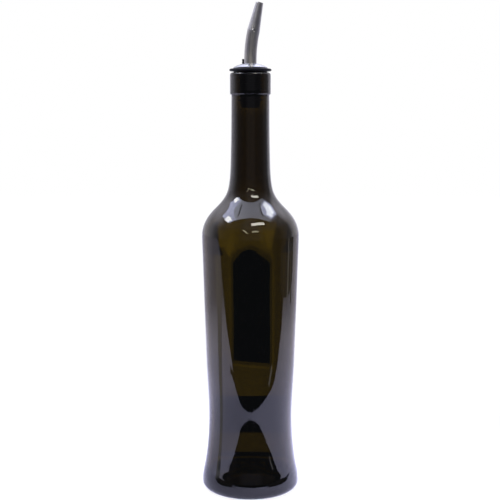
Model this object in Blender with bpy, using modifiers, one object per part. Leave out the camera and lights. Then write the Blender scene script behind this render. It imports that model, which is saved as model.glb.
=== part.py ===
"""Glass pourer bottle: a waisted bottle of dark glass, with a finned stopper that carries a bent steel spout.

Metres, +Z up. The origin is the centre of the ring that the bottle stands on, and the spout leans towards +X
and a little towards -Y. The pourer only rests in the mouth of the bottle, so nothing here moves.
"""

import math

import bmesh
import bpy
from mathutils import Vector

# Sizes are written in millimetres here, and every function below works in them until a mesh is made.
METRES = 0.001
GAP = 0.3  # between pieces that touch

# Bottle: a half litre, about 70 mm across.
MOUTH_Z = 303.0  # top of the lip
HEEL_R = 35.3  # widest place, just above the foot
HEEL_ROUND = 5.0
FOOT_INNER_R = 26.0
PUNT_RISE = 8.0
BASE_THICKNESS = 6.0
FLOOR_CORNER_R = 6.0  # round corner inside, between the floor and the wall
FLOOR_WALL_R = 30.9
# (height, radius, slope of the radius) where the outside of the wall changes its bend
OUTSIDE = [
    (HEEL_ROUND, HEEL_R, 0.0),
    (20.0, 33.0, -0.165),
    (54.0, 30.35, 0.0),  # waist
    (95.0, 32.1, 0.034),
    (170.0, 34.45, 0.030),
    (187.0, 34.9, 0.0),  # belly
    (198.0, 32.0, -0.52),
    (207.2, 24.7, -1.02),  # shoulder
    (217.0, 17.15, -0.45),
    (227.0, 14.85, -0.12),
    (241.0, 14.05, -0.03),
    (287.4, 13.5, 0.0),  # neck, under the ring of the finish
]
STEPS_OUTSIDE = [3, 3, 3, 2, 2, 3, 3, 3, 3, 2, 2]
BODY_WALL = 2.9
NECK_WALL = 5.2
SHOULDER_FROM_Z = 195.0  # the wall thickens from here
SHOULDER_TO_Z = 230.0
WALL_FROM_Z = 17.0  # inside, the wall starts above the floor's corner
NECK_END_Z = 273.0  # inside, the neck starts to close in on the bore
BORE_END_Z = 281.0  # where the bore opens into the neck
BORE_R = 9.25  # at the lip
BORE_TAPER = 0.15  # wider by this at its lower end
RING_R = 14.5
RING_EDGE = 0.9
RING_LEDGE = 0.2  # step between the neck and the ring's lower edge
LIP_ROUND = 1.6
LIP_INNER_ROUND = 1.0

# Pourer: heights are above the lip of the bottle.
CORE_R = 7.4
FIN_COUNT = 5
FIN_PITCH = 4.0
FIN_THICKNESS = 1.3
FIRST_FIN_Z = -3.4
STOPPER_END_Z = -25.0
NOSE_R = 6.6
NOSE_CHAMFER = 0.6
SEAT_R = 12.0  # disc that rests on the lip
SEAT_THICKNESS = 0.8
FLANGE_R = 14.9
FLANGE_THICKNESS = 1.8
FLANGE_ROUND = 0.6
FLANGE_FALL = 0.2  # from the dome's edge to its own
DOME_R = 12.1
DOME_MARGIN = 0.6  # level ring round the dome's edge
DOME_RISE = 3.2
DOME_SHEET = 0.8
DOME_EDGE = 0.5  # height of its upright rim
PASSAGE_R = 3.6  # way for the oil through the stopper
SPOUT_R = 4.4
SPOUT_TIP_R = 2.62
SPOUT_WALL = 0.55
SPOUT_SEAT_Z = -6.0
SPOUT_TOP_Z = 48.4
BEND_START_Z = 8.5
TAPER_START_Z = 29.6
SPOUT_LEAN = math.radians(15.6)
SPOUT_TURN = math.radians(-38.0)  # way that it leans, about +Z from +X
VENT_R = 0.85
VENT_WALL = 0.3
VENT_OFF_AXIS = 6.5
VENT_FOOT_Z = 1.6
VENT_TOP_Z = 9.8

BOTTLE_SIDES = 52
POURER_SIDES = 36
CUTTER_SIDES = 16
SPOUT_ROUNDNESS = 5  # bevel resolution of the tubes
VENT_ROUNDNESS = 2
SHARP_ANGLE = math.radians(38)
FINE_MERGE = 1e-5  # metres


def clear_scene():
    for obj in list(bpy.data.objects):
        bpy.data.objects.remove(obj, do_unlink=True)


def new_collection(name, render=True):
    collection = bpy.data.collections.new(name)
    collection.hide_render = not render
    bpy.context.scene.collection.children.link(collection)
    return collection


def new_material(name, colour, roughness, metallic=0.0, transmission=0.0, ior=1.5):
    material = bpy.data.materials.new(name)
    material.use_nodes = True
    shader = material.node_tree.nodes["Principled BSDF"]
    shader.inputs["Base Color"].default_value = (*colour, 1.0)
    shader.inputs["Roughness"].default_value = roughness
    shader.inputs["Metallic"].default_value = metallic
    shader.inputs["Transmission Weight"].default_value = transmission
    shader.inputs["IOR"].default_value = ior
    return material


def add_object(name, data, collection, parent=None, location=(0, 0, 0), material=None):
    obj = bpy.data.objects.new(name, data)
    collection.objects.link(obj)
    obj.location = location
    obj.parent = parent
    if material:
        obj.data.materials.append(material)
    return obj


def apply_modifiers(obj):
    """Keeps the evaluated mesh, shaded smooth but for its true edges."""
    bpy.context.view_layer.update()
    graph = bpy.context.evaluated_depsgraph_get()
    mesh = bpy.data.meshes.new_from_object(obj.evaluated_get(graph))
    obj.modifiers.clear()
    obj.data = mesh
    mesh.shade_smooth()
    mesh.set_sharp_from_angle(angle=SHARP_ANGLE)


# Outlines are lists of (radius, height).


def smooth_run(stations, steps):
    """A cubic through (height, radius, slope) stations, with the given number of steps between each two."""
    points = []
    for (z0, r0, slope0), (z1, r1, slope1), count in zip(stations, stations[1:], steps):
        rise = z1 - z0
        for step in range(count):
            t = step / count
            radius = (
                (2 * t**3 - 3 * t**2 + 1) * r0
                + (t**3 - 2 * t**2 + t) * rise * slope0
                + (3 * t**2 - 2 * t**3) * r1
                + (t**3 - t**2) * rise * slope1
            )
            points.append((radius, z0 + t * rise))
    points.append((stations[-1][1], stations[-1][0]))
    return points


def arc(centre_r, centre_z, radius, start, end, steps):
    """Degrees, with 0 pointing out from the axis and 90 pointing up."""
    angles = [math.radians(start + (end - start) * i / steps) for i in range(steps + 1)]
    return [(centre_r + radius * math.cos(a), centre_z + radius * math.sin(a)) for a in angles]


def moved_inwards(points, thickness_at):
    """The outline's inner face: each point moves square to the wall by the thickness at its height."""
    moved = []
    for i in range(1, len(points) - 1):
        along = Vector(points[i + 1]) - Vector(points[i - 1])
        inwards = Vector((-along.y, along.x)).normalized()
        moved.append(tuple(Vector(points[i]) + thickness_at(points[i][1]) * inwards))
    return moved


def wall_thickness(z):
    """The wall thickens from the body to the neck, across the shoulder."""
    across = (z - SHOULDER_FROM_Z) / (SHOULDER_TO_Z - SHOULDER_FROM_Z)
    return BODY_WALL + (NECK_WALL - BODY_WALL) * min(max(across, 0.0), 1.0)


def punt_height(radius):
    """The base is pushed up in the middle and runs level into the foot."""
    return PUNT_RISE * math.cos(math.pi / 2 * radius / FOOT_INNER_R) ** 2


def bottle_outline():
    """From the middle of the floor inside, up to the lip, down the outside and back under the base."""
    wall = smooth_run(OUTSIDE, STEPS_OUTSIDE)
    inside = [p for p in moved_inwards(wall, wall_thickness) if WALL_FROM_Z < p[1] < NECK_END_Z]
    steps = 5
    under = [(r, punt_height(r)) for r in (FOOT_INNER_R * i / steps for i in range(steps + 1))]
    floor = [(r, z + BASE_THICKNESS) for r, z in under[:-1]]
    corner_r = FLOOR_WALL_R - FLOOR_CORNER_R
    floor += arc(corner_r, BASE_THICKNESS + FLOOR_CORNER_R, FLOOR_CORNER_R, -90, 0, steps=4)
    bore = [(BORE_R + BORE_TAPER, BORE_END_Z)]
    lip = arc(BORE_R + LIP_INNER_ROUND, MOUTH_Z - LIP_INNER_ROUND, LIP_INNER_ROUND, 180, 90, steps=2)
    lip += arc(RING_R - LIP_ROUND, MOUTH_Z - LIP_ROUND, LIP_ROUND, 90, 0, steps=3)
    ledge_z = wall[-1][1] + RING_LEDGE
    ring_low = arc(RING_R - RING_EDGE, ledge_z + RING_EDGE, RING_EDGE, 0, -90, steps=3)
    heel = arc(HEEL_R - HEEL_ROUND, HEEL_ROUND, HEEL_ROUND, 0, -90, steps=5)[1:]
    return floor + inside + bore + lip + ring_low + wall[::-1] + heel + under[::-1]


def dome_arc(radius_of_rim, rim_z, rise, inner_r, steps):
    """A shallow spherical cap, from its hole out to its rim."""
    ball = (radius_of_rim**2 + rise**2) / (2 * rise)
    radii = [inner_r + (radius_of_rim - inner_r) * i / steps for i in range(steps + 1)]
    return [(r, rim_z + rise - ball + math.sqrt(ball**2 - r**2)) for r in radii]


def stopper_outline():
    """A closed ring: over the boss and flange, down the fins, and up the stepped passage for the oil."""
    seat_z = GAP
    rim_z = seat_z + SEAT_THICKNESS
    top_z = rim_z + FLANGE_THICKNESS
    bore_r = SPOUT_R + GAP
    boss_r = DOME_R - DOME_SHEET - GAP
    boss = dome_arc(boss_r, top_z + GAP, DOME_RISE - DOME_SHEET, bore_r, steps=4)
    flange = [(boss_r, top_z), (DOME_R + DOME_MARGIN, top_z)]
    round_r = FLANGE_R - FLANGE_ROUND
    flange += arc(round_r, top_z - FLANGE_FALL - FLANGE_ROUND, FLANGE_ROUND, 90, 0, steps=2)
    flange += arc(round_r, rim_z + FLANGE_ROUND, FLANGE_ROUND, 0, -90, steps=2)
    flange += [(SEAT_R, rim_z), (SEAT_R, seat_z), (CORE_R, seat_z)]
    fins = []
    for i in range(FIN_COUNT):
        fin_z = FIRST_FIN_Z - i * FIN_PITCH
        fins += [
            (CORE_R, fin_z + FIN_THICKNESS / 2),
            (BORE_R - GAP, fin_z + FIN_THICKNESS / 4),
            (BORE_R - GAP, fin_z - FIN_THICKNESS / 4),
            (CORE_R, fin_z - FIN_THICKNESS / 2),
        ]
    nose = [(NOSE_R, STOPPER_END_Z + NOSE_CHAMFER), (NOSE_R - NOSE_CHAMFER, STOPPER_END_Z)]
    nose.append((PASSAGE_R, STOPPER_END_Z))
    seat_of_spout = SPOUT_SEAT_Z - GAP
    passage = [(PASSAGE_R, seat_of_spout), (bore_r, seat_of_spout)]
    return boss + flange + fins + nose + passage


def dome_outline():
    """A closed ring of pressed sheet: over its top from the hole to the rim, and back underneath."""
    low_z = GAP + SEAT_THICKNESS + FLANGE_THICKNESS + GAP
    rim_z = low_z + DOME_EDGE
    hole_r = SPOUT_R + GAP
    over = dome_arc(DOME_R, rim_z, DOME_RISE, hole_r, steps=6)
    under_r = DOME_R - DOME_SHEET
    under = dome_arc(under_r, low_z + GAP, DOME_RISE - DOME_SHEET + GAP, hole_r, steps=4)
    return over + [(DOME_R, low_z), (under_r, low_z)] + under[::-1]


def turned(name, outline, closed, sides, collection, parent, material):
    """Turns an outline about Z. An outline that isn't closed starts and ends on the axis."""
    mesh = bpy.data.meshes.new(name)
    points = [(r * METRES, 0.0, z * METRES) for r, z in outline]
    edges = [(i, i + 1) for i in range(len(points) - 1)]
    if closed:
        edges.append((len(points) - 1, 0))
    mesh.from_pydata(points, edges, [])
    obj = add_object(name, mesh, collection, parent, material=material)
    screw = obj.modifiers.new("Turn", "SCREW")
    screw.axis = "Z"
    screw.angle = 2 * math.pi
    screw.steps = sides
    screw.render_steps = sides
    screw.use_merge_vertices = True
    screw.merge_threshold = FINE_MERGE
    return obj


def spout_path():
    """[(point, radius)] up the middle of the spout: upright, then an even bend, then straight to the tip."""
    bend_length = TAPER_START_Z - BEND_START_Z
    bend_r = bend_length / SPOUT_LEAN
    path = [(Vector((0.0, 0.0, z)), SPOUT_R) for z in (SPOUT_SEAT_Z, BEND_START_Z)]
    steps = 7
    for i in range(1, steps + 1):
        angle = SPOUT_LEAN * i / steps
        across = bend_r * (1 - math.cos(angle))
        path.append((Vector((across, 0.0, BEND_START_Z + bend_r * math.sin(angle))), SPOUT_R))
    start = path[-1][0]
    way = Vector((math.sin(SPOUT_LEAN), 0.0, math.cos(SPOUT_LEAN)))
    length = (SPOUT_TOP_Z - start.z) / way.z
    steps = 4
    for i in range(1, steps + 1):
        share = i / steps
        radius = SPOUT_R + (SPOUT_TIP_R - SPOUT_R) * share
        path.append((start + way * length * share, radius))
    return path


def tube(name, path, wall, turn, collection, parent, material, roundness, location=(0, 0)):
    """A round tube along [(point, outer radius)], turned about Z, with a wall that keeps its outer size."""
    largest = max(radius for _, radius in path)
    curve = bpy.data.curves.new(name + "_path", "CURVE")
    curve.dimensions = "3D"
    curve.bevel_depth = largest * METRES
    curve.bevel_resolution = roundness
    spline = curve.splines.new("POLY")
    spline.points.add(len(path) - 1)
    for point, (place, radius) in zip(spline.points, path):
        point.co = (*(place * METRES), 1.0)
        point.radius = radius / largest
    guide = add_object(name + "_path", curve, collection)
    bpy.context.view_layer.update()
    graph = bpy.context.evaluated_depsgraph_get()
    mesh = bpy.data.meshes.new_from_object(guide.evaluated_get(graph))
    bpy.data.objects.remove(guide)
    mesh.name = name
    x, y = location
    obj = add_object(name, mesh, collection, parent, (x * METRES, y * METRES, 0.0), material)
    obj.rotation_euler.z = turn
    shell = obj.modifiers.new("Wall", "SOLIDIFY")
    shell.thickness = wall * METRES
    shell.offset = -1.0
    shell.use_even_offset = True
    return obj


def round_cutter(name, radius, low_z, high_z, x, y, collection, parent):
    """A round rod that cuts the seat of the vent tube."""
    mesh = bpy.data.meshes.new(name)
    form = bmesh.new()
    bmesh.ops.create_cone(
        form,
        cap_ends=True,
        segments=CUTTER_SIDES,
        radius1=radius * METRES,
        radius2=radius * METRES,
        depth=(high_z - low_z) * METRES,
    )
    form.to_mesh(mesh)
    form.free()
    middle = Vector((x, y, (low_z + high_z) / 2)) * METRES
    obj = add_object(name, mesh, collection, parent, middle)
    obj.display_type = "WIRE"
    obj.hide_render = True
    return obj


def cut(obj, cutter):
    boolean = obj.modifiers.new("Cut " + cutter.name, "BOOLEAN")
    boolean.operation = "DIFFERENCE"
    boolean.solver = "EXACT"
    boolean.object = cutter


def main():
    clear_scene()
    parts = new_collection("glass_pourer_bottle")
    cutters = new_collection("cutters", render=False)

    glass = new_material("dark_glass", (0.10, 0.06, 0.01), 0.04, transmission=1.0, ior=1.52)
    rubber = new_material("black_moulded_stopper", (0.008, 0.008, 0.011), 0.42)
    polished = new_material("polished_steel", (0.82, 0.83, 0.84), 0.08, metallic=1.0)
    drawn = new_material("drawn_steel", (0.30, 0.30, 0.31), 0.28, metallic=1.0)
    black_tube = new_material("black_vent_tube", (0.012, 0.012, 0.013), 0.35)

    bottle = turned("glass_bottle", bottle_outline(), False, BOTTLE_SIDES, parts, None, glass)
    apply_modifiers(bottle)

    pourer = add_object("pourer", None, parts, location=(0, 0, MOUTH_Z * METRES))
    stopper = turned("stopper", stopper_outline(), True, POURER_SIDES, parts, pourer, rubber)
    dome = turned("dome_cap", dome_outline(), True, POURER_SIDES, parts, pourer, polished)
    spout = tube(
        "spout", spout_path(), SPOUT_WALL, SPOUT_TURN, parts, pourer, drawn, SPOUT_ROUNDNESS
    )

    vent_angle = SPOUT_TURN + math.pi
    vent_x = VENT_OFF_AXIS * math.cos(vent_angle)
    vent_y = VENT_OFF_AXIS * math.sin(vent_angle)
    vent_path = [(Vector((0.0, 0.0, z)), VENT_R) for z in (VENT_FOOT_Z, VENT_TOP_Z)]
    vent = tube(
        "vent_tube", vent_path, VENT_WALL, 0.0, parts, pourer, black_tube, VENT_ROUNDNESS, (vent_x, vent_y)
    )
    seat = round_cutter(
        "vent_seat", VENT_R + GAP, VENT_FOOT_Z - GAP, VENT_TOP_Z, vent_x, vent_y, cutters, pourer
    )
    cut(stopper, seat)
    cut(dome, seat)

    for obj in (stopper, dome, spout, vent):
        apply_modifiers(obj)


main()
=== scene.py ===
import math

import bmesh
import bpy
from mathutils import Matrix, Vector, noise


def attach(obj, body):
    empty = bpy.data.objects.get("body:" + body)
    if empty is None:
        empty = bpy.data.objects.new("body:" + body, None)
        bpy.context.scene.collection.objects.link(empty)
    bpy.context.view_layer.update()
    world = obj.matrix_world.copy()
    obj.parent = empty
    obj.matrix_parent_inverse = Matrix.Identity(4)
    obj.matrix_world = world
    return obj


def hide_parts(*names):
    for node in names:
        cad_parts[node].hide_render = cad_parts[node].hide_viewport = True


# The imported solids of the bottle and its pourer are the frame: metres, +Z up, standing on Z = 0. Lengths
# below are in millimetres until a mesh is made. The front is on the -Y side, and the spout leans to +X.
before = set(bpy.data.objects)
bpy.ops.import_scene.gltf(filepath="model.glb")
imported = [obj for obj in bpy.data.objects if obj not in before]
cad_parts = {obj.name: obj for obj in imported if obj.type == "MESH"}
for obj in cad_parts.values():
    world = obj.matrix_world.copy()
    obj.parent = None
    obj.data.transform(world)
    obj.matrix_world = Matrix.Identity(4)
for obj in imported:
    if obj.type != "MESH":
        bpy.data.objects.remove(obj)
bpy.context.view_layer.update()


# ------------------------------------------------------------------------------------- glass bottle
# A half litre bottle of dead-leaf soda-lime glass, blown in a mould of two halves, which leave a fine seam
# up each side. The mould shapes the outside, so the inside is a little uneven. The ring round the mouth is
# fire-polished, and the pushed-up base stands on a knurled ring.
MM = 0.001
MOUTH_Z = 303.0
HEEL_R = 35.3
HEEL_ROUND = 5.0
FOOT_INNER_R = 26.0
PUNT_RISE = 8.0
BASE_THICKNESS = 6.0
FLOOR_CORNER_R = 6.0
FLOOR_WALL_R = 30.9
# (height, radius, slope of the radius) where the outside of the wall changes its bend
OUTSIDE = [
    (HEEL_ROUND, HEEL_R, 0.0),
    (20.0, 33.0, -0.165),
    (54.0, 30.35, 0.0),  # waist
    (95.0, 32.1, 0.034),
    (170.0, 34.45, 0.030),
    (187.0, 34.9, 0.0),  # belly
    (198.0, 32.0, -0.52),
    (207.2, 24.7, -1.02),  # shoulder
    (217.0, 17.15, -0.45),
    (227.0, 14.85, -0.12),
    (241.0, 14.05, -0.03),
    (287.4, 13.5, 0.0),  # neck, under the ring of the finish
]
WALL_STEP = 2.0  # height between two points of the wall's outline
BODY_WALL = 2.9
NECK_WALL = 5.2
SHOULDER_FROM_Z = 195.0
SHOULDER_TO_Z = 230.0
WALL_FROM_Z = 17.0
NECK_END_Z = 273.0
BORE_END_Z = 281.0
BORE_R = 9.25
BORE_TAPER = 0.15
RING_R = 14.5
RING_EDGE = 0.9
RING_LEDGE = 0.2
LIP_ROUND = 1.6
LIP_INNER_ROUND = 1.0
FOOT_STEPS = 6
GLASS_SIDES = 216
SEAM_HEIGHT = 0.07
SEAM_HALF_WIDTH = 0.35
SEAM_TO_Z = 286.0
SEAM_FADE = 4.0  # height over which the seam runs out at both ends
WAVE_INSIDE = 0.13  # how far the wall wanders from true
WAVE_OUTSIDE = 0.03
WAVE_LENGTH = 24.0
OUTSIDE_WAVE_LENGTH = 38.4
WAVE_SQUEEZE = 0.55  # makes the waves longer up the wall than round it
INSIDE_SEED = 3.1
OUTSIDE_SEED = 8.4
KNURLS = 54
KNURL_DEPTH = 0.12
KNURL_FROM_R = 26.6
KNURL_TO_R = 29.6
SHARP_EDGE = math.radians(35)  # between two faces that aren't shaded as one


def linear(colour):
    """An sRGB hex colour as linear red, green, blue and alpha."""
    parts = [int(colour[i : i + 2], 16) / 255 for i in (1, 3, 5)]
    return (*(p / 12.92 if p <= 0.04045 else ((p + 0.055) / 1.055) ** 2.4 for p in parts), 1.0)


def add(tree, kind, settings=None, links=None):
    """Adds a node. Settings are inputs, by name or number, or properties. Links start at nodes or sockets."""
    node = tree.nodes.new("ShaderNode" + kind)
    for key, value in (settings or {}).items():
        if isinstance(key, int) or key in node.inputs:
            node.inputs[key].default_value = value
        else:
            setattr(node, key, value)
    for key, source in (links or {}).items():
        socket = source.outputs[0] if isinstance(source, bpy.types.Node) else source
        tree.links.new(socket, node.inputs[key])
    return node


def finish_named(name):
    """A new material with nothing in its node tree."""
    made = bpy.data.materials.new(name)
    made.use_nodes = True
    made.node_tree.nodes.clear()
    return made


def smooth_run(stations, step):
    """A cubic through (height, radius, slope) stations, with points about a step apart."""
    points = []
    for (z0, r0, slope0), (z1, r1, slope1) in zip(stations, stations[1:]):
        rise = z1 - z0
        count = math.ceil(rise / step)
        for i in range(count):
            t = i / count
            radius = (
                (2 * t**3 - 3 * t**2 + 1) * r0
                + (t**3 - 2 * t**2 + t) * rise * slope0
                + (3 * t**2 - 2 * t**3) * r1
                + (t**3 - t**2) * rise * slope1
            )
            points.append((radius, z0 + t * rise))
    points.append((stations[-1][1], stations[-1][0]))
    return points


def arc(centre_r, centre_z, radius, start, end, steps):
    """Degrees, with 0 pointing out from the axis and 90 pointing up."""
    angles = [math.radians(start + (end - start) * i / steps) for i in range(steps + 1)]
    return [(centre_r + radius * math.cos(a), centre_z + radius * math.sin(a)) for a in angles]


def moved_inwards(points, thickness_at):
    """The outline's inner face: each point moves square to the wall by the thickness at its height."""
    moved = []
    for i in range(1, len(points) - 1):
        along = Vector(points[i + 1]) - Vector(points[i - 1])
        inwards = Vector((-along.y, along.x)).normalized()
        moved.append(tuple(Vector(points[i]) + thickness_at(points[i][1]) * inwards))
    return moved


def wall_thickness(z):
    across = (z - SHOULDER_FROM_Z) / (SHOULDER_TO_Z - SHOULDER_FROM_Z)
    return BODY_WALL + (NECK_WALL - BODY_WALL) * min(max(across, 0.0), 1.0)


def punt_height(radius):
    return PUNT_RISE * math.cos(math.pi / 2 * radius / FOOT_INNER_R) ** 2


def bottle_outline():
    """[(radius, height, stretch)] from the floor's middle inside, over the lip, and back under the base."""
    wall = smooth_run(OUTSIDE, WALL_STEP)
    inside = [p for p in moved_inwards(wall, wall_thickness) if WALL_FROM_Z < p[1] < NECK_END_Z]
    steps = 14
    under = [(r, punt_height(r)) for r in (FOOT_INNER_R * i / steps for i in range(steps + 1))]
    floor = [(r, z + BASE_THICKNESS) for r, z in under[:-1]]
    corner_r = FLOOR_WALL_R - FLOOR_CORNER_R
    floor += arc(corner_r, BASE_THICKNESS + FLOOR_CORNER_R, FLOOR_CORNER_R, -90, 0, steps=8)
    lip = [(BORE_R + BORE_TAPER, BORE_END_Z)]
    lip += arc(BORE_R + LIP_INNER_ROUND, MOUTH_Z - LIP_INNER_ROUND, LIP_INNER_ROUND, 180, 90, steps=4)
    lip += arc(RING_R - LIP_ROUND, MOUTH_Z - LIP_ROUND, LIP_ROUND, 90, 0, steps=7)
    ledge_z = wall[-1][1] + RING_LEDGE
    lip += arc(RING_R - RING_EDGE, ledge_z + RING_EDGE, RING_EDGE, 0, -90, steps=5)
    heel = arc(HEEL_R - HEEL_ROUND, HEEL_ROUND, HEEL_ROUND, 0, -90, steps=10)[1:]
    foot_outer_r = HEEL_R - HEEL_ROUND
    foot_step = (FOOT_INNER_R - foot_outer_r) / FOOT_STEPS
    foot = [(foot_outer_r + foot_step * i, 0.0) for i in range(1, FOOT_STEPS)]
    stretches = {"floor": floor, "inside": inside, "lip": lip, "outside": wall[::-1]}
    stretches |= {"heel": heel, "foot": foot, "under": under[::-1]}
    return [(r, z, name) for name, points in stretches.items() for r, z in points]


def seam_angles():
    """Even steps round the bottle, with finer ones at the two mould seams, which face +X and -X."""
    fine = [math.degrees(SEAM_HALF_WIDTH / HEEL_R) * share for share in (-2, -1, -0.5, 0, 0.5, 1, 2)]
    step = 360 / GLASS_SIDES
    even = [i * step for i in range(GLASS_SIDES) if (i * step) % 180 != 0]
    return sorted(math.radians(a % 360) for a in even + fine + [180 + f for f in fine])


def from_seam(radius, angle):
    """Distance round the bottle to the nearer mould seam."""
    return radius * abs((angle + math.pi / 2) % math.pi - math.pi / 2)


def wander(radius, z, angle, length, seed):
    """Smooth unevenness from -1 to 1, longer up the wall than round it."""
    place = Vector((radius * math.cos(angle), radius * math.sin(angle), z * WAVE_SQUEEZE)) / length
    return noise.noise(place + Vector((seed, seed * 0.7, seed * 1.3)))


def glass_shift(radius, z, angle, stretch):
    """(outwards, upwards) shift of a point of the bottle's glass."""
    if stretch == "inside":
        return WAVE_INSIDE * wander(radius, z, angle, WAVE_LENGTH, INSIDE_SEED), 0.0
    if stretch == "outside":
        wave = WAVE_OUTSIDE * wander(radius, z, angle, OUTSIDE_WAVE_LENGTH, OUTSIDE_SEED)
        ridge = max(0.0, 1 - (from_seam(radius, angle) / SEAM_HALF_WIDTH) ** 2)
        rise = min(1.0, (SEAM_TO_Z - z) / SEAM_FADE, (z - HEEL_ROUND) / SEAM_FADE)
        return wave * rise - WAVE_OUTSIDE + SEAM_HEIGHT * ridge * max(0.0, rise), 0.0
    if stretch == "foot" and KNURL_FROM_R < radius < KNURL_TO_R:
        return 0.0, KNURL_DEPTH * (0.5 - 0.5 * math.cos(KNURLS * angle))
    return 0.0, 0.0


def turned(name, outline, angles, closed, shift=None):
    """Turns [(radius, height, stretch)] about Z. One that isn't closed starts and ends on the axis."""
    points = []
    rings = []
    for radius, z, stretch in outline:
        spread = angles if radius > 0 else [0.0]
        rings.append(range(len(points), len(points) + len(spread)))
        for angle in spread:
            out, up = shift(radius, z, angle, stretch) if shift else (0.0, 0.0)
            across = (radius + out) * MM
            points.append((across * math.cos(angle), across * math.sin(angle), (z + up) * MM))
    faces = []
    pairs = list(zip(rings, rings[1:]))
    if closed:
        pairs.append((rings[-1], rings[0]))
    for low, high in pairs:
        for i in range(len(angles)):
            j = (i + 1) % len(angles)
            corners = [low[i % len(low)], low[j % len(low)], high[j % len(high)], high[i % len(high)]]
            faces.append(list(dict.fromkeys(corners)))
    return solid_piece(name, points, faces)


def solid_piece(name, points, faces):
    """A closed mesh with its faces pointing out, shaded smooth but for its sharp edges."""
    mesh = bpy.data.meshes.new(name)
    mesh.from_pydata(points, [], faces)
    form = bmesh.new()
    form.from_mesh(mesh)
    bmesh.ops.recalc_face_normals(form, faces=form.faces)
    form.to_mesh(mesh)
    form.free()
    mesh.shade_smooth()
    mesh.set_sharp_from_angle(angle=SHARP_EDGE)
    piece = bpy.data.objects.new(name, mesh)
    bpy.context.scene.collection.objects.link(piece)
    return piece


# Dead-leaf soda-lime glass, blown and fire-polished: almost black where it is thick, olive brown with light
# behind it, and mirror smooth, but for a faint orange peel from the mould and a breath of dust and handling.
GLASS_TINT = "#CEC37E"  # what both faces of one wall let through, beside the glass's own depth
GLASS_DEPTH_TINT = "#B3A92D"
GLASS_DEPTH = 700.0
GLASS_IOR = 1.52
PEEL_SIZE = 9.0
DUST_SIZE = 1.6
SMUDGE_SIZE = 38.0

dead_leaf_glass = finish_named("dead_leaf_glass_blown")
tree = dead_leaf_glass.node_tree
place = add(tree, "TexCoord").outputs["Object"]
smudge = add(
    tree,
    "TexNoise",
    {"Scale": 1000 / SMUDGE_SIZE, "Detail": 5.0, "Roughness": 0.62, "Distortion": 0.6},
    {"Vector": place},
)
dust = add(tree, "TexNoise", {"Scale": 1000 / DUST_SIZE, "Detail": 3.0}, {"Vector": place})
specks = add(tree, "MapRange", {"From Min": 0.6, "From Max": 0.78, "To Max": 0.05}, {"Value": dust})
film = add(
    tree,
    "MapRange",
    {"From Min": 0.45, "From Max": 0.75, "To Min": 0.012, "To Max": 0.05},
    {"Value": smudge},
)
roughness = add(tree, "Math", {"operation": "ADD"}, {0: film, 1: specks})
peel = add(tree, "TexNoise", {"Scale": 1000 / PEEL_SIZE, "Detail": 2.0}, {"Vector": place})
bump = add(tree, "Bump", {"Strength": 0.12, "Distance": 0.02 * MM}, {"Height": peel})
shader = add(
    tree,
    "BsdfPrincipled",
    {"Base Color": linear(GLASS_TINT), "IOR": GLASS_IOR, "Transmission Weight": 1.0},
    {"Roughness": roughness, "Normal": bump},
)
depth = add(tree, "VolumeAbsorption", {"Color": linear(GLASS_DEPTH_TINT), "Density": GLASS_DEPTH})
add(tree, "OutputMaterial", {}, {"Surface": shader, "Volume": depth})

bottle = turned("glass_bottle_blown", bottle_outline(), seam_angles(), False, glass_shift)
bottle.data.materials.append(dead_leaf_glass)
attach(bottle, "root")
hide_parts("glass_bottle")


# ------------------------------------------------------------------------------------------ stopper
# The pourer's stopper: one soft black moulding with five sealing fins round its stem and a broad flange
# that rests on the lip. Its domed top is a boss that carries the steel dome, and the oil runs up through it.
GAP = 0.3
CORE_R = 7.4
FIN_COUNT = 5
FIN_PITCH = 4.0
FIN_THICKNESS = 1.3
FIRST_FIN_Z = -3.4
STOPPER_END_Z = -25.0
NOSE_R = 6.6
NOSE_CHAMFER = 0.6
SEAT_R = 12.0
SEAT_THICKNESS = 0.8
FLANGE_R = 14.9
FLANGE_THICKNESS = 1.8
FLANGE_ROUND = 0.6
FLANGE_FALL = 0.2
DOME_R = 12.1
DOME_MARGIN = 0.6
DOME_RISE = 3.2
DOME_SHEET = 0.8
DOME_EDGE = 0.5
PASSAGE_R = 3.6
SPOUT_R = 4.4
SPOUT_SEAT_Z = -6.0
SPOUT_TURN = math.radians(-38.0)
VENT_R = 0.85
VENT_WALL = 0.3
VENT_OFF_AXIS = 6.5
VENT_FOOT_Z = 1.6
VENT_TOP_Z = 9.8
POURER_SIDES = 144


def dome_arc(rim_r, rim_z, rise, inner_r, steps):
    """A shallow spherical cap, from its hole out to its rim."""
    ball = (rim_r**2 + rise**2) / (2 * rise)
    radii = [inner_r + (rim_r - inner_r) * i / steps for i in range(steps + 1)]
    return [(r, rim_z + rise - ball + math.sqrt(ball**2 - r**2)) for r in radii]


def raised(points):
    """Heights above the lip of the bottle become heights above the floor."""
    return [(r, MOUTH_Z + z, "") for r, z in points]


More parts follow.
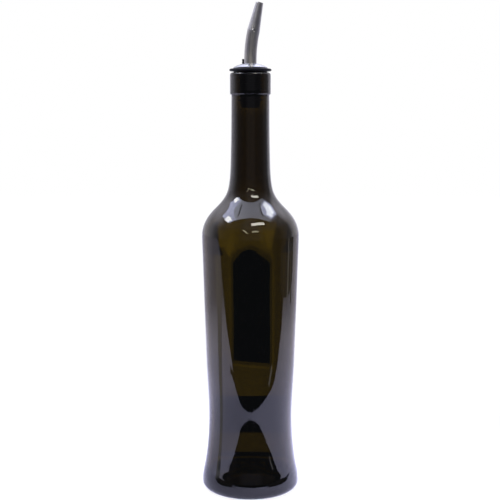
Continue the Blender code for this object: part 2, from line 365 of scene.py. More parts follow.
def stopper_outline():
    """A closed ring: over the boss and flange, down the fins, and up the stepped passage for the oil."""
    seat_z = GAP
    rim_z = seat_z + SEAT_THICKNESS
    top_z = rim_z + FLANGE_THICKNESS
    bore_r = SPOUT_R + GAP
    boss_r = DOME_R - DOME_SHEET - GAP
    boss = dome_arc(boss_r, top_z + GAP, DOME_RISE - DOME_SHEET, bore_r, steps=10)
    flange = [(boss_r, top_z), (DOME_R + DOME_MARGIN, top_z)]
    round_r = FLANGE_R - FLANGE_ROUND
    flange += arc(round_r, top_z - FLANGE_FALL - FLANGE_ROUND, FLANGE_ROUND, 90, 0, steps=6)
    flange += arc(round_r, rim_z + FLANGE_ROUND, FLANGE_ROUND, 0, -90, steps=6)
    flange += [(SEAT_R, rim_z), (SEAT_R, seat_z), (CORE_R, seat_z)]
    fins = []
    for i in range(FIN_COUNT):
        fin_z = FIRST_FIN_Z - i * FIN_PITCH
        fins.append((CORE_R, fin_z + FIN_THICKNESS / 2))
        tip_round = FIN_THICKNESS / 4
        fins += arc(BORE_R - GAP - tip_round, fin_z, tip_round, 90, -90, steps=6)
        fins.append((CORE_R, fin_z - FIN_THICKNESS / 2))
    nose = [(NOSE_R, STOPPER_END_Z + NOSE_CHAMFER), (NOSE_R - NOSE_CHAMFER, STOPPER_END_Z)]
    nose.append((PASSAGE_R, STOPPER_END_Z))
    seat_of_spout = SPOUT_SEAT_Z - GAP
    passage = [(PASSAGE_R, seat_of_spout), (bore_r, seat_of_spout)]
    return raised(boss + flange + fins + nose + passage)


def even_angles(count):
    return [2 * math.pi * i / count for i in range(count)]


def vent_place():
    """Where the vent tube stands: behind the spout, on the side that it leans away from."""
    angle = SPOUT_TURN + math.pi
    return VENT_OFF_AXIS * math.cos(angle), VENT_OFF_AXIS * math.sin(angle)


def bore_for_vent(piece):
    """Cuts the vent tube's hole into a piece, and keeps the result as its mesh."""
    form = bmesh.new()
    bmesh.ops.create_cone(
        form,
        cap_ends=True,
        segments=32,
        radius1=(VENT_R + GAP) * MM,
        radius2=(VENT_R + GAP) * MM,
        depth=(VENT_TOP_Z - VENT_FOOT_Z + GAP) * MM,
    )
    x, y = vent_place()
    middle = Vector((x, y, MOUTH_Z + (VENT_FOOT_Z - GAP + VENT_TOP_Z) / 2)) * MM
    form.transform(Matrix.Translation(middle))
    mesh = bpy.data.meshes.new("vent_bore")
    form.to_mesh(mesh)
    form.free()
    cutter = bpy.data.objects.new("vent_bore", mesh)
    bpy.context.scene.collection.objects.link(cutter)
    cut = piece.modifiers.new("Vent bore", "BOOLEAN")
    cut.operation = "DIFFERENCE"
    cut.solver = "EXACT"
    cut.object = cutter
    bpy.context.view_layer.update()
    graph = bpy.context.evaluated_depsgraph_get()
    result = bpy.data.meshes.new_from_object(piece.evaluated_get(graph))
    piece.modifiers.clear()
    piece.data = result
    bpy.data.objects.remove(cutter)
    result.shade_smooth()
    result.set_sharp_from_angle(angle=SHARP_EDGE)


def fill_ramp(ramp, stops):
    """Gives a colour ramp one stop for each (place, colour)."""
    while len(ramp.elements) < len(stops):
        ramp.elements.new(0.5)
    for element, (place_on_ramp, colour_there) in zip(ramp.elements, stops):
        element.position = place_on_ramp
        element.color = colour_there


# Moulded thermoplastic elastomer: black with a blue cast, half matt, with the fine even grain of a
# spark-eroded mould and dull patches where it has been handled.
GRAIN_SIZE = 0.35
HANDLED_SIZE = 9.0

black_elastomer = finish_named("black_elastomer_moulded")
tree = black_elastomer.node_tree
place = add(tree, "TexCoord").outputs["Object"]
grain = add(tree, "TexNoise", {"Scale": 1000 / GRAIN_SIZE, "Detail": 2.0}, {"Vector": place})
handled = add(tree, "TexNoise", {"Scale": 1000 / HANDLED_SIZE, "Detail": 3.0}, {"Vector": place})
colour = add(tree, "ValToRGB", {}, {"Fac": handled})
fill_ramp(colour.color_ramp, [(0.0, linear("#06070B")), (1.0, linear("#0C0E17"))])
roughness = add(
    tree,
    "MapRange",
    {"From Min": 0.3, "From Max": 0.7, "To Min": 0.42, "To Max": 0.56},
    {"Value": handled},
)
bump = add(tree, "Bump", {"Strength": 0.25, "Distance": 0.03 * MM}, {"Height": grain})
shader = add(
    tree,
    "BsdfPrincipled",
    {"IOR": 1.5, "Specular IOR Level": 0.2},
    {"Base Color": colour, "Roughness": roughness, "Normal": bump},
)
add(tree, "OutputMaterial", {}, {"Surface": shader})

stopper = turned("stopper_moulded", stopper_outline(), even_angles(POURER_SIDES), True)
stopper.data.materials.append(black_elastomer)
bore_for_vent(stopper)
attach(stopper, "root")
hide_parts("stopper")


# --------------------------------------------------------------------------------------- steel dome
# A cap of stainless sheet, pressed to a shallow dome with an upright rim, pierced for the spout and the vent
# tube, and mopped to a mirror. It sits on the stopper's boss.
def dome_outline():
    """A closed ring of pressed sheet: over its top from the hole to the rim, and back underneath."""
    low_z = GAP + SEAT_THICKNESS + FLANGE_THICKNESS + GAP
    rim_z = low_z + DOME_EDGE
    hole_r = SPOUT_R + GAP
    over = dome_arc(DOME_R, rim_z, DOME_RISE, hole_r, steps=24)
    under_r = DOME_R - DOME_SHEET
    under = dome_arc(under_r, low_z + GAP, DOME_RISE - DOME_SHEET + GAP, hole_r, steps=12)
    return raised(over + [(DOME_R, low_z), (under_r, low_z)] + under[::-1])


# Stainless steel, deep-drawn and mopped: bright and almost white, with a few softer patches and faint rings
# from the mop. The rings are coarser than the real ones, which are too fine to show.
MOP_RING = 1.38
WAVE_PERIOD = math.pi / 10  # of the wave texture at scale 1
SOFT_PATCH = 6.0

mopped_stainless = finish_named("stainless_steel_mopped")
tree = mopped_stainless.node_tree
place = add(tree, "TexCoord").outputs["Object"]
rings = add(
    tree,
    "TexWave",
    {
        "wave_type": "RINGS",
        "rings_direction": "Z",
        "Scale": 1000 * WAVE_PERIOD / MOP_RING,
        "Distortion": 1.4,
        "Detail": 3.0,
        "Detail Scale": 2.0,
    },
    {"Vector": place},
)
patches = add(tree, "TexNoise", {"Scale": 1000 / SOFT_PATCH, "Detail": 4.0}, {"Vector": place})
roughness = add(
    tree,
    "MapRange",
    {"From Min": 0.3, "From Max": 0.7, "To Min": 0.2, "To Max": 0.32},
    {"Value": patches},
)
bump = add(tree, "Bump", {"Strength": 0.06, "Distance": 0.01 * MM}, {"Height": rings})
shader = add(
    tree,
    "BsdfPrincipled",
    {"Base Color": linear("#BCBFC7"), "Metallic": 1.0},
    {"Roughness": roughness, "Normal": bump},
)
add(tree, "OutputMaterial", {}, {"Surface": shader})

dome = turned("steel_dome_pressed", dome_outline(), even_angles(POURER_SIDES), True)
dome.data.materials.append(mopped_stainless)
bore_for_vent(dome)
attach(dome, "root")
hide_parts("dome_cap")


# -------------------------------------------------------------------------------------------- spout
# The spout: a drawn stainless tube, bent over and then tapered. To taper it, a long thin V was cut out of
# its front and the edges were pressed together, which leaves a closed seam up to a small notch in the tip.
SPOUT_TIP_R = 2.62
SPOUT_WALL = 0.55
SPOUT_TOP_Z = 48.4
BEND_START_Z = 8.5
TAPER_START_Z = 29.6
SPOUT_LEAN = math.radians(15.6)
SPOUT_SIDES = 120
SEAM_AT = math.radians(-60.0)  # round the tube from the way that it leans
SEAM_FROM = 2.04  # along the tube: 1 is the bend's start, 2 the taper's, 3 the tip
SEAM_RUN_IN = 0.03
SEAM_LEFT = 1.3  # width of its flank on the left, in mm
SEAM_RIGHT = 0.45
SEAM_DEPTH = 0.32
NOTCH_DEPTH = 1.1
NOTCH_HALF_WIDTH = 0.7
RELIEF_AT = (2.01, math.radians(-48.0))  # the rounded end of the V
RELIEF_R = 0.75
RELIEF_DEPTH = 0.3
TIP_ROUND = 0.2


def spout_station(along):
    """(middle, lean, outer radius): 0 to 1 is upright, 1 to 2 round the bend, and 2 to 3 up to the tip."""
    bend_r = (TAPER_START_Z - BEND_START_Z) / SPOUT_LEAN
    if along <= 1:
        return Vector((0, 0, SPOUT_SEAT_Z + (BEND_START_Z - SPOUT_SEAT_Z) * along)), 0.0, SPOUT_R
    lean = SPOUT_LEAN * min(along - 1, 1)
    middle = Vector((bend_r * (1 - math.cos(lean)), 0, BEND_START_Z + bend_r * math.sin(lean)))
    if along <= 2:
        return middle, lean, SPOUT_R
    way = Vector((math.sin(lean), 0, math.cos(lean)))
    share = along - 2
    length = (SPOUT_TOP_Z - middle.z) / way.z
    return middle + way * length * share, lean, SPOUT_R + (SPOUT_TIP_R - SPOUT_R) * share


def spout_point(along, angle, inwards):
    """A point of the spout's wall, so far inside its outer face."""
    middle, lean, radius = spout_station(along)
    across = Vector((math.cos(lean), 0, -math.sin(lean)))
    reach = radius - inwards
    point = middle + reach * (math.cos(angle) * across + math.sin(angle) * Vector((0, 1, 0)))
    return (Matrix.Rotation(SPOUT_TURN, 3, "Z") @ point + Vector((0, 0, MOUTH_Z))) * MM


def seam_dent(along, angle):
    """How deep the closed V and its rounded end are pressed in."""
    _, _, radius = spout_station(along)
    off = radius * (angle - SEAM_AT)
    flank = 1 + off / SEAM_LEFT if off < 0 else 1 - off / SEAM_RIGHT
    fade = min(max((along - SEAM_FROM) / SEAM_RUN_IN, 0.0), 1.0)
    dent = SEAM_DEPTH * max(0.0, flank) * fade
    at, around = RELIEF_AT
    length = SPOUT_TOP_Z - TAPER_START_Z
    away = math.hypot((along - at) * length, radius * (angle - around)) / RELIEF_R
    return max(dent, RELIEF_DEPTH * max(0.0, 1 - away**2))


def spout_mesh():
    """The tube as rows of points: up the outside, over the tip, down the inside and back over the foot."""
    angles = [2 * math.pi * i / SPOUT_SIDES - math.pi for i in range(SPOUT_SIDES)]
    # closer together at the seam and at the edge of its right flank
    angles += [SEAM_AT + math.radians(d) for d in (-1.4, -0.7, 0.0, 0.7, 1.4, 4.4, 5.6, 7.4)]
    angles = sorted(angles)
    rows = [i / 3 for i in range(4)]  # upright
    rows += [1 + i / 16 for i in range(1, 15)]  # bend
    rows += [1.94 + i * 0.0125 for i in range(13)]  # rounded end of the V
    rows += [2.12 + i * 0.04 for i in range(20)]  # taper
    rows += [2.91, 2.93, 2.95, 2.97, 2.985, 3.0]  # notch in the tip
    tip_length = SPOUT_TOP_Z - TAPER_START_Z

    def ring(along, extra):
        made = []
        for angle in angles:
            _, _, radius = spout_station(along)
            off = abs(radius * (angle - SEAM_AT)) / NOTCH_HALF_WIDTH
            notch = NOTCH_DEPTH / tip_length * max(0.0, 1 - off)
            place = min(along, 3.0 - notch)
            dent = seam_dent(place, angle) if extra < SPOUT_WALL / 2 else 0.0
            made.append(spout_point(place, angle, extra + dent))
        return made

    grid = [ring(a, 0.0) for a in rows[:-1]]
    grid += [ring(3.0 - TIP_ROUND / 3 / tip_length, TIP_ROUND / 3), ring(3.0, TIP_ROUND)]
    grid += [ring(a, SPOUT_WALL) for a in rows[::-1]]
    points = [p for row in grid for p in row]
    count = len(angles)
    faces = []
    for row in range(len(grid)):
        above = (row + 1) % len(grid)
        for i in range(count):
            j = (i + 1) % count
            faces.append([row * count + i, row * count + j, above * count + j, above * count + i])
    piece = solid_piece("steel_spout_drawn", points, faces)
    # how each point lies to the seam, for the painted highlight and shade in the material: cosine, sine and
    # place along the tube
    along_rows = rows[:-1] + [3.0, 3.0] + rows[::-1]
    to_seam = []
    for along in along_rows:
        for angle in angles:
            to_seam.extend((math.cos(angle - SEAM_AT), math.sin(angle - SEAM_AT), along))
    stored = piece.data.attributes.new("to_seam", "FLOAT_VECTOR", "POINT")
    stored.data.foreach_set("vector", to_seam)
    return piece


# Stainless steel, cold drawn and left unpolished: a grey satin with fine marks along the tube, in clouds a
# little darker and bluer from heating. Its colour also carries a painted highlight beside the seam and
# painted shade below the taper.
DRAW_MARK = 0.72  # between marks round the tube, coarser than the real ones so that they show
DRAW_LENGTH = 9.0
HEAT_CLOUD = 5.0

drawn_stainless = finish_named("stainless_steel_drawn")
tree = drawn_stainless.node_tree
place = add(tree, "TexCoord").outputs["Object"]
mark_scale = (1000 / DRAW_MARK, 1000 / DRAW_MARK, 1000 / DRAW_LENGTH)
along_tube = add(tree, "Mapping", {"Scale": mark_scale}, {"Vector": place})
marks = add(tree, "TexNoise", {"Scale": 1.0, "Detail": 3.0, "Roughness": 0.6}, {"Vector": along_tube})
clouds = add(tree, "TexNoise", {"Scale": 1000 / HEAT_CLOUD, "Detail": 3.0}, {"Vector": place})
colour = add(tree, "ValToRGB", {}, {"Fac": clouds})
fill_ramp(colour.color_ramp, [(0.3, linear("#CDCDD2")), (0.7, linear("#E0DFDB"))])

# The flank before the seam has a painted highlight and the one behind it painted shade, and the tube below
# the taper is painted darker, in place of the reflections along it.
PAINTED_SHADE_BELOW_TAPER = (0.6, 0.59, 0.57, 1.0)
PAINTED_SHEEN_BANDS = [  # (place across the tube, from behind the seam to before it, brightness)
    (0.0, 0.8),
    (0.22, 0.72),
    (0.32, 1.0),
    (0.47, 1.0),
    (0.51, 0.55),
    (0.66, 0.45),
    (0.85, 0.6),
    (1.0, 0.8),
]
# The bands and the darker foot of the tube are painted highlight and shade, multiplied into the steel's
# clouded colour.
to_seam = add(tree, "Attribute", {"attribute_name": "to_seam"}).outputs["Vector"]
lies = add(tree, "SeparateXYZ", {}, {"Vector": to_seam})
across = add(tree, "MapRange", {"From Min": -1.0, "From Max": 1.0}, {"Value": lies.outputs["Y"]})
painted_bands = add(tree, "ValToRGB", {}, {"Fac": across})
fill_ramp(painted_bands.color_ramp, [(at, (value, value, value, 1.0)) for at, value in PAINTED_SHEEN_BANDS])
tapered = add(tree, "MapRange", {"From Min": 1.96, "From Max": 2.03}, {"Value": lies.outputs["Z"]})
painted_sheen = add(tree, "Mix", {"data_type": "RGBA", 6: PAINTED_SHADE_BELOW_TAPER}, {0: tapered, 7: painted_bands})
tone_and_painted_sheen = add(
    tree,
    "Mix",
    {"data_type": "RGBA", "blend_type": "MULTIPLY", 0: 1.0},
    {6: colour, 7: painted_sheen.outputs[2]},
)
roughness = add(
    tree,
    "MapRange",
    {"From Min": 0.3, "From Max": 0.7, "To Min": 0.34, "To Max": 0.48},
    {"Value": marks},
)
bump = add(tree, "Bump", {"Strength": 0.2, "Distance": 0.02 * MM}, {"Height": marks})
shader = add(
    tree,
    "BsdfPrincipled",
    {"Metallic": 1.0},
    {"Base Color": tone_and_painted_sheen.outputs[2], "Roughness": roughness, "Normal": bump},
)
add(tree, "OutputMaterial", {}, {"Surface": shader})

spout = spout_mesh()
spout.data.materials.append(drawn_stainless)
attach(spout, "root")
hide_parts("spout")


# ---------------------------------------------------------------------------------------- vent tube
# A short black tube of extruded polyethylene that lets air in behind the oil. It stands in a blind seat in
# the stopper, and has a bead at its top that a plug would grip.
VENT_SIDES = 40
VENT_CHAMFER = 0.1
VENT_WAIST = 0.16  # how far the tube is drawn in under its bead
VENT_WAIST_HALF = 0.6
VENT_BEAD_LENGTH = 1.5


def vent_outline():
    """A closed ring of (radius, height): up the outside, over the rounded end, and down the bore."""
    end_round = VENT_WALL / 2
    waist_z = VENT_TOP_Z - VENT_BEAD_LENGTH
    outside = [(VENT_R - VENT_CHAMFER, VENT_FOOT_Z), (VENT_R, VENT_FOOT_Z + VENT_CHAMFER)]
    steps = 10
    for i in range(steps + 1):
        share = 2 * i / steps - 1
        radius = VENT_R - VENT_WAIST * math.cos(math.pi / 2 * share) ** 2
        outside.append((radius, waist_z + VENT_WAIST_HALF * share))
    top = arc(VENT_R - end_round, VENT_TOP_Z - end_round, end_round, 0, 180, steps=8)
    return raised(outside + top + [(VENT_R - VENT_WALL, VENT_FOOT_Z)])


# Black polyethylene, extruded: smooth and waxy, with faint lines along the tube.
DIE_LINE = 0.167
DIE_LINE_LENGTH = 4.0

black_polyethylene = finish_named("black_polyethylene_extruded")
tree = black_polyethylene.node_tree
place = add(tree, "TexCoord").outputs["Object"]
line_scale = (1000 / DIE_LINE, 1000 / DIE_LINE, 1000 / DIE_LINE_LENGTH)
lines = add(tree, "Mapping", {"Scale": line_scale}, {"Vector": place})
streaks = add(tree, "TexNoise", {"Scale": 1.0, "Detail": 2.0}, {"Vector": lines})
roughness = add(
    tree,
    "MapRange",
    {"From Min": 0.3, "From Max": 0.7, "To Min": 0.28, "To Max": 0.42},
    {"Value": streaks},
)
bump = add(tree, "Bump", {"Strength": 0.15, "Distance": 0.02 * MM}, {"Height": streaks})
colour = add(tree, "ValToRGB", {}, {"Fac": streaks})
fill_ramp(colour.color_ramp, [(0.0, linear("#121214")), (1.0, linear("#1B1B1E"))])
shader = add(
    tree,
    "BsdfPrincipled",
    {"IOR": 1.51},
    {"Base Color": colour, "Roughness": roughness, "Normal": bump},
)
add(tree, "OutputMaterial", {}, {"Surface": shader})

vent = turned("vent_tube_extruded", vent_outline(), even_angles(VENT_SIDES), True)
vent.data.transform(Matrix.Translation(Vector((*vent_place(), 0)) * MM))
vent.data.materials.append(black_polyethylene)
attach(vent, "root")
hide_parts("vent_tube")


# ----------------------------------------------------------------------------- table and surroundings
# A white paper sheet on a table, lit until it burns out. It ends a hand's length in front of the bottle,
# where the dark room starts, and dark things stand behind the bottle. All of it is stage.
FLOOR_HALF = 3000.0
ON_REFLECTIONS = {"glossy"}
THROUGH_GLASS = {"transmission"}
LIT_ROOM = {"diffuse", "glossy", "shadow"}


def card(name, points, brightness, seen_by, tint="#FFFFFF"):
    """A flat stage card of even brightness, which only some kinds of ray see."""
    mesh = bpy.data.meshes.new(name)
    mesh.from_pydata([Vector(p) * MM for p in points], [], [list(range(len(points)))])
    piece = bpy.data.objects.new(name, mesh)
    bpy.context.scene.collection.objects.link(piece)
    made = finish_named(name)
    glow = add(made.node_tree, "Emission", {"Color": linear(tint), "Strength": brightness})
    add(made.node_tree, "OutputMaterial", {}, {"Surface": glow})
    mesh.materials.append(made)
    for kind in ("camera", "diffuse", "glossy", "transmission", "volume_scatter", "shadow"):
        setattr(piece, "visible_" + kind, kind in seen_by)
    return piece


floor_mesh = bpy.data.meshes.new("white_sheet")
half = FLOOR_HALF * MM
floor_corners = [(-half, -half, 0), (half, -half, 0), (half, half, 0), (-half, half, 0)]
floor_mesh.from_pydata(floor_corners, [], [(0, 1, 2, 3)])
floor = bpy.data.objects.new("white_sheet", floor_mesh)
bpy.context.scene.collection.objects.link(floor)

# Matt white paper. The camera sees it burnt out, but for the soft shadow at the bottle's foot.
PAPER_IN_SHADOW = (0.16, 0.16, 0.165, 1.0)
white_paper = finish_named("white_paper_sheet")
tree = white_paper.node_tree
place = add(tree, "TexCoord").outputs["Object"]
away = add(tree, "VectorMath", {"operation": "LENGTH"}, {0: place}).outputs["Value"]
ways = add(tree, "SeparateXYZ", {}, {"Vector": place})
rays = add(tree, "LightPath")
paper = add(tree, "BsdfDiffuse", {"Color": PAPER_IN_SHADOW})
own_light = add(tree, "Emission", {"Strength": 0.9})
near_sheet = add(tree, "AddShader", {}, {0: paper, 1: own_light})
burnt_out = add(tree, "Emission", {"Strength": 1.02})
far_off = add(
    tree,
    "MapRange",
    {"interpolation_type": "SMOOTHSTEP", "From Min": 0.1, "From Max": 0.3},
    {"Value": away},
)
shown = add(tree, "MixShader", {}, {0: far_off, 1: near_sheet, 2: burnt_out})

# What the glass mirrors of it is a little violet, is brighter to the right, and falls off with distance.
NEAR_HUE = (1.0, 1.0, 1.42, 1.0)
FAR_HUE = (1.03, 1.0, 1.26, 1.0)
far_back = add(
    tree,
    "MapRange",
    {"interpolation_type": "SMOOTHSTEP", "From Min": 0.05, "From Max": 0.4, "To Min": 0.62, "To Max": 0.92},
    {"Value": ways.outputs["Y"]},
)
fall_off = add(
    tree,
    "MapRange",
    {"interpolation_type": "SMOOTHSTEP", "From Min": 0.45, "From Max": 0.75},
    {"Value": away},
)
at_foot = add(
    tree,
    "MapRange",
    {"From Min": -0.08, "From Max": 0.08, "To Min": 0.92, "To Max": 1.5},
    {"Value": ways.outputs["X"]},
)
close_by = add(
    tree,
    "MapRange",
    {"From Min": 0.16, "From Max": 0.25, "To Max": 1.45},
    {"Value": away, "To Min": at_foot},
)
near_or_far = add(tree, "Mix", {"data_type": "FLOAT"}, {0: fall_off, 2: close_by, 3: far_back})
shaded_back = add(
    tree,
    "MapRange",
    {"From Min": 0.03, "From Max": 0.3, "To Min": 1.0, "To Max": 0.72},
    {"Value": ways.outputs["Y"]},
)
brightness = add(tree, "Math", {"operation": "MULTIPLY"}, {0: near_or_far.outputs[0], 1: shaded_back})
violet = add(tree, "MapRange", {"From Min": 0.25, "From Max": 0.5}, {"Value": away})
hue = add(tree, "Mix", {"data_type": "RGBA", 6: NEAR_HUE, 7: FAR_HUE}, {0: violet})
mirrored = add(tree, "Emission", {}, {"Color": hue.outputs[2], "Strength": brightness})

# Through the glass only the part behind the bottle is white, and under the base the sheet is dark with a
# painted shadow of the bottle.
WHITE_BEHIND = 1.2
shadow_under_base = add(tree, "MapRange", {"From Min": 0.05, "From Max": 0.062}, {"Value": away})
behind = add(tree, "Math", {"operation": "GREATER_THAN", 1: 0.0}, {0: ways.outputs["Y"]})
white_behind = add(tree, "Math", {"operation": "MULTIPLY"}, {0: shadow_under_base, 1: behind})
lit_behind = add(tree, "Math", {"operation": "MULTIPLY", 1: WHITE_BEHIND}, {0: white_behind})
seen_through = add(tree, "Emission", {}, {"Strength": lit_behind})
direct = add(tree, "MixShader", {}, {0: rays.outputs["Is Camera Ray"], 1: mirrored, 2: shown})
sheet = add(tree, "MixShader", {}, {0: rays.outputs["Is Transmission Ray"], 1: direct, 2: seen_through})
add(tree, "OutputMaterial", {}, {"Surface": sheet})
floor_mesh.materials.append(white_paper)

# The dark room in front of the sheet's edge is a card just over the table, which only reflections see.
ROOM_BRIGHTNESS = 0.08
ROOM_TINT = "#E8F2FF"
ROOM_HEIGHT = 0.4
SHEET_EDGE = [(-3000, -235), (-1020, -250), (-613, -262), (-430, -254), (-322, -254), (-274, -248)]
SHEET_EDGE += [(-172, -208), (-123, -190), (-93, -188), (-57, -196.5), (-30, -200.6), (0, -202.3)]
SHEET_EDGE += [(30, -200.6), (58, -195.5), (94, -186), (159, -160), (195, -138), (235, -120)]
SHEET_EDGE += [(310, -114), (402, -100), (505, -62), (680, -35), (1000, -60)]
ROOM_CORNERS = [(3000, -120), (3000, -3000), (-3000, -3000)]
dark_room = [(x, y, ROOM_HEIGHT) for x, y in SHEET_EDGE + ROOM_CORNERS]
card("dark_room_floor", dark_room, ROOM_BRIGHTNESS, ON_REFLECTIONS, ROOM_TINT)


def towards(azimuth, elevation=0):
    """A direction: azimuth from the front, positive to the right, and elevation, in degrees."""
    a, e = math.radians(azimuth), math.radians(elevation)
    return Vector((math.sin(a) * math.cos(e), -math.cos(a) * math.cos(e), math.sin(e)))


def rim(name, edge, brightness, tint):
    """Upright cards along [(x, y, low edge, high edge)], which only reflections see."""
    for number, ((x0, y0, low0, high0), (x1, y1, low1, high1)) in enumerate(zip(edge, edge[1:])):
        corners = [(x0, y0, low0), (x1, y1, low1), (x1, y1, high1), (x0, y0, high0)]
        card("%s_%d" % (name, number), corners, brightness, ON_REFLECTIONS, tint)


# A low dark rim stands along the nearest part of the sheet's edge.
LOW_RIM = [(-245, -190), (-205, -198), (-161, -194), (-125, -187)]
LOW_RIM_HEIGHT = 14.0
LOW_RIM_BRIGHTNESS = 0.1
rim("low_rim", [(x, y, 0, LOW_RIM_HEIGHT) for x, y in LOW_RIM], LOW_RIM_BRIGHTNESS, "#F2F2FF")

# Lower ones stand in a ring nearer to the bottle, where only its foot mirrors them: painted shade of the
# bottle's shadow on the sheet round its foot.
FOOT_SHADE_R = 150.0
FOOT_SHADES = [  # (brightness, [(degrees from the front, low edge, high edge)])
    (0.12, [(-38, 0, 8), (-52, 0, 10.5), (-65, 0, 9.8), (-70, 0, 9)]),
    (0.12, [(-70, 0, 9), (-76, 0, 6), (-81, 0, 5)]),
    (0.42, [(-70, 9, 9.1), (-76, 6, 9), (-81, 5, 8)]),
    (0.55, [(-81, 0, 6), (-85, 0, 3)]),
    (0.12, [(37, 0, 8), (52, 0, 9), (62, 0, 9.5), (74, 0, 7)]),
    (0.12, [(74, 0, 7), (83, 0, 4), (90, 0, 2.5), (98, 0, 2)]),
]
SHADE_TINT = "#F6F4FF"
for number, (brightness, edge) in enumerate(FOOT_SHADES):
    stands = [(*(towards(degrees) * FOOT_SHADE_R).to_2d(), low, high) for degrees, low, high in edge]
    rim("foot_rim_%d" % number, stands, brightness, SHADE_TINT)

# Darker and lighter places on the sheet and beside it: name: (brightness, outline). Each card lies a little
# over the one before.
PATCHES = {
    "shaded_strip": (
        0.85,
        [(-185, -8), (-560, -5), (-1000, 20), (-1000, -215), (-652, -190), (-449, -112), (-190, -42)],
    ),
    "dark_right_side": (
        0.16,
        [(690, -140), (705, 250), (740, 470), (3000, 1900), (3000, -300), (1000, -260)],
    ),
    "light_gap": (0.75, [(686, 132), (680, 176), (2880, 750), (2900, 560)]),
    "dark_stand": (0.25, [(600, 290), (605, 350), (1300, 540), (1300, 420)]),
    "shade_at_left": (
        0.12,
        [(-110, -28), (-146, -38), (-135, -62), (-105, -104), (-81, -124), (-66, -116), (-80, -56)],
    ),
    "shade_at_right": (
        0.12,
        [(118, -2), (149, -4), (142, -43), (119, -90), (90, -118), (72, -118), (88, -48)],
    ),
    "paper_fold": (0.8, [(182, -160), (215, -163), (288, -188), (275, -206), (190, -178)]),
}
PATCH_HEIGHT = 0.5
PATCH_STEP = 0.1
for number, (name, (brightness, outline)) in enumerate(PATCHES.items()):
    height = PATCH_HEIGHT + PATCH_STEP * number
    card(name, [(x, y, height) for x, y in outline], brightness, ON_REFLECTIONS, SHADE_TINT)

# What stands behind the bottle shows through it: an upright dark block with a soft edge, dark things to both
# sides, and two dark bands low down, the lower of which is the bottle's own shadow, painted. From the nearest
# card on: name: (brightness, outline from the front).
BEHIND_Y = 50.0
BEHIND_STEP = 0.5
BEHIND_HALF = 60.0
SEEN_BEHIND = {
    "dark_block": (
        0.0,
        [(-14.6, 83.5), (16.9, 80.5), (16.9, 160), (14.3, 162.4), (10.9, 164.4), (6.6, 167.1)]
        + [(3.1, 169.9), (-1.2, 170.7), (-5.5, 169.5), (-8.1, 167.9), (-10.7, 164.7), (-14.6, 160.7)],
    ),
    "block_penumbra": (
        0.35,
        [(-16.7, 81), (19, 77.5), (19, 163), (17.8, 165), (15.2, 167.5), (10, 170.3)]
        + [(4.8, 172.7), (0.5, 174.3), (-5.5, 172.7), (-10.7, 170.3), (-14.1, 167), (-16.7, 162.7)],
    ),
    "block_outer_shade": (
        0.7,
        [(-18, 79), (21.2, 75.5), (21.2, 164.7), (20.3, 167.5), (16.9, 170.3), (11.7, 173.5)]
        + [(6.6, 175.5), (0.5, 176.7), (-8.1, 174.7), (-12.4, 172.3), (-15.9, 168.7), (-18, 164.7)],
    ),
    "dark_left": (0.05, [(-60, 166), (-60, 205), (-31, 205), (-29, 174), (-24, 166)]),
    "dark_right": (0.05, [(60, 168), (60, 205), (38, 205), (34, 176), (29, 168)]),
    "shade_left": (0.6, [(-60, 86), (-60, 170), (-24, 172), (-18, 165), (-18, 86)]),
    "shade_right": (0.45, [(60, 86), (60, 205), (25, 205), (21.5, 185), (17.7, 168), (17.7, 86)]),
    "shade_over_block": (
        0.66,
        [(-9, 160), (-9, 181), (-7, 199), (6, 199), (7, 184), (9, 172), (10, 160)],
    ),
    "shade_round_it": (
        0.9,
        [(-14, 160), (-14, 178), (-11, 201), (9, 201), (11, 184), (15, 170), (15, 160)],
    ),
}
BANDS_BEHIND = {  # name: (brightness, low edge, high edge)
    "shade_above": (0.46, 53.5, 87.0),
    "dark_band": (0.0, 23.5, 53.5),
    "shade_below": (0.35, 6.0, 23.5),
    # painted shadow of the bottle, seen through its base
    "bottle_shadow_behind": (0.0, -2.0, 6.0),
}
for name, (brightness, low, high) in BANDS_BEHIND.items():
    band = [(-BEHIND_HALF, low), (BEHIND_HALF, low), (BEHIND_HALF, high), (-BEHIND_HALF, high)]
    SEEN_BEHIND[name] = (brightness, band)
for number, (name, (brightness, outline)) in enumerate(SEEN_BEHIND.items()):
    depth = BEHIND_Y + BEHIND_STEP * number
    card(name, [(x, depth, z) for x, z in outline], brightness, THROUGH_GLASS)


# ------------------------------------------------------------------------------------------- lights
# Three large soft boxes stand at arm's length over the bottle, two of them in front of a white cloth, with
# two small lamps lower down in front and a grey bar over each cloth. The ceiling is bright behind a straight
# edge, and to the front the room is dark, which keeps the glass deep.
LAMP_DISTANCE = 900.0
CLOTH_DISTANCE = 980.0
LAMPS_AIM_AT = Vector((0, 0, 200))


def softbox(name, start, end, width, brightness, tint, distance=LAMP_DISTANCE):
    """A lit card between two directions, so wide, facing the bottle."""
    ends = [LAMPS_AIM_AT + towards(*way) * distance for way in (start, end)]
    middle = (ends[0] + ends[1]) / 2
    sideways = (ends[1] - ends[0]).cross(middle - LAMPS_AIM_AT).normalized() * width / 2
    corners = [ends[0] - sideways, ends[1] - sideways, ends[1] + sideways, ends[0] + sideways]
    return card(name, corners, brightness, LIT_ROOM, tint)


softbox("left_softbox", (-95, 48), (-71, 48), 165, 17.0, "#FAFBFF")
softbox("left_cloth", (-118, 49), (-62, 51), 260, 7.5, "#D9DEFF", CLOTH_DISTANCE)
softbox("right_softbox", (87, 57), (119, 54), 160, 15.0, "#F0F4FF")
softbox("right_cloth", (79, 60), (127, 52), 330, 7.0, "#D9DEFF", CLOTH_DISTANCE)
softbox("front_softbox", (3, 47), (44, 47), 125, 13.0, "#FFFAF2")
softbox("small_lamp_left", (-20, 31), (-6, 19), 40, 6.0, "#FFF3DC")
softbox("small_lamp_right", (4, 24.5), (20, 25.5), 50, 8.0, "#FFF6E2")
softbox("cloth_bar_left", (-92, 72), (-64, 66), 45, 0.9, "#E6EEFF")
softbox("cloth_bar_right", (64, 65), (92, 72), 45, 0.9, "#E6EEFF")

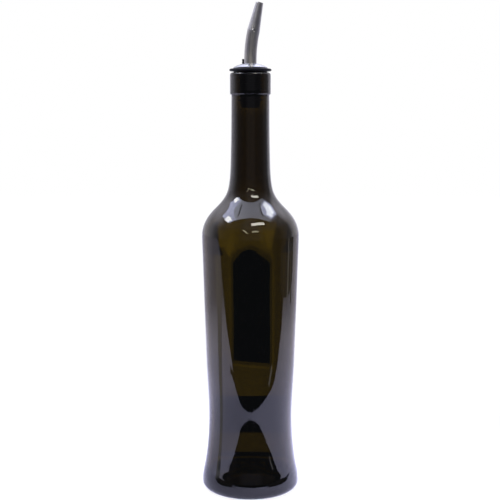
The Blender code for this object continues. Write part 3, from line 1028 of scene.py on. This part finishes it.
world = bpy.data.worlds.new("studio")
world.use_nodes = True
tree = world.node_tree
tree.nodes.clear()
way = add(tree, "TexCoord").outputs["Generated"]
parts = add(tree, "SeparateXYZ", {}, {"Vector": way})
frontwards = add(tree, "Math", {"operation": "MULTIPLY", 1: -1.0}, {0: parts.outputs["Y"]})
azimuth = add(tree, "Math", {"operation": "ARCTAN2"}, {0: parts.outputs["X"], 1: frontwards})
turn = add(tree, "MapRange", {"From Min": -math.pi, "From Max": math.pi}, {"Value": azimuth})
walls = add(tree, "ValToRGB", {}, {"Fac": turn})
WALLS = [  # (degrees from the front, brightness)
    (-180, 0.5),
    (-150, 0.85),
    (-115, 0.9),
    (-104, 0.7),
    (-95, 0.5),
    (-88, 0.33),
    (-80, 0.18),
    (-60, 0.1),
    (-32, 0.07),
    (-14, 0.15),
    (22, 0.15),
    (32, 0.09),
    (75, 0.12),
    (88, 0.2),
    (112, 0.28),
    (120, 0.7),
    (130, 0.95),
    (170, 0.9),
]
WALL_HUE = (1.0, 0.98, 1.12)
wall_stops = []
for degrees, value in WALLS:
    wall_stops.append(((degrees + 180) / 360, (*(value * share for share in WALL_HUE), 1.0)))
fill_ramp(walls.color_ramp, wall_stops)

# Higher up, the walls catch more of the lamps, and the ceiling is bright from a straight edge in front.
WALLS_LIT = (math.sin(math.radians(20)), math.sin(math.radians(42)))
CEILING_LIT = (math.sin(math.radians(44)), math.sin(math.radians(56)))
CEILING_EDGE = 0.354  # how far in front of the bottle the bright part starts, for each unit above it
CEILING_HUE = (0.95, 1.0, 1.25)
lifted = add(
    tree,
    "MapRange",
    {
        "interpolation_type": "SMOOTHSTEP",
        "From Min": WALLS_LIT[0],
        "From Max": WALLS_LIT[1],
        "To Min": 1.0,
        "To Max": 2.0,
    },
    {"Value": parts.outputs["Z"]},
)
lit_walls = add(tree, "VectorMath", {"operation": "SCALE"}, {0: walls.outputs["Color"], "Scale": lifted})
lean = add(
    tree,
    "Math",
    {"operation": "MULTIPLY_ADD", 1: CEILING_EDGE},
    {0: parts.outputs["Z"], 2: parts.outputs["Y"]},
)
behind_edge = add(tree, "MapRange", {"From Min": -0.015, "From Max": 0.015}, {"Value": lean})
overhead = add(
    tree,
    "MapRange",
    {"interpolation_type": "SMOOTHSTEP", "From Min": CEILING_LIT[0], "From Max": CEILING_LIT[1]},
    {"Value": parts.outputs["Z"]},
)
ceiling = add(tree, "Math", {"operation": "MULTIPLY"}, {0: behind_edge, 1: overhead})
leftwards = add(
    tree,
    "MapRange",
    {"From Min": -0.6, "From Max": 0.0, "To Min": 3.7, "To Max": 2.3},
    {"Value": parts.outputs["X"]},
)
ceiling_light = add(tree, "VectorMath", {"operation": "SCALE", 0: CEILING_HUE}, {"Scale": leftwards})
room = add(tree, "Mix", {"data_type": "RGBA"}, {0: ceiling, 6: lit_walls, 7: ceiling_light})

# The camera sees plain white, and so does a ray through the glass to the back.
rays = add(tree, "LightPath")
behind = add(tree, "Math", {"operation": "GREATER_THAN", 1: 0.0}, {0: parts.outputs["Y"]})
through = add(tree, "Math", {"operation": "MULTIPLY"}, {0: rays.outputs["Is Transmission Ray"], 1: behind})
plain = add(tree, "Math", {"operation": "MAXIMUM"}, {0: rays.outputs["Is Camera Ray"], 1: through})
sky = add(tree, "Mix", {"data_type": "RGBA", 7: (1.0, 1.0, 1.0, 1.0)}, {0: plain, 6: room.outputs[2]})
background = add(tree, "Background", {}, {"Color": sky.outputs[2]})
add(tree, "OutputWorld", {}, {"Surface": background})
bpy.context.scene.world = world
bpy.context.scene.view_settings.view_transform = "Standard"


# ------------------------------------------------------------------------------------------- camera
# A medium telephoto lens at arm's length, a little over the height of the shoulder, looks slightly down.
FRAME_PIXELS = 500
FOCAL_LENGTH = 73.2
SENSOR_WIDTH = 36.0
CAMERA_PLACE = Vector((0.0, -731.3, 267.1))
LOOKS_DOWN = math.radians(7.08)
AXIS_OFFSET_PIXELS = 0.4  # the bottle's axis stands this far right of the picture's middle

lens = bpy.data.cameras.new("camera")
lens.lens = FOCAL_LENGTH
lens.sensor_width = SENSOR_WIDTH
camera = bpy.data.objects.new("camera", lens)
camera.location = CAMERA_PLACE * MM
focal_pixels = FOCAL_LENGTH / SENSOR_WIDTH * FRAME_PIXELS
camera.rotation_euler = (math.pi / 2 - LOOKS_DOWN, 0, AXIS_OFFSET_PIXELS / focal_pixels)
bpy.context.scene.collection.objects.link(camera)
bpy.context.scene.camera = camera
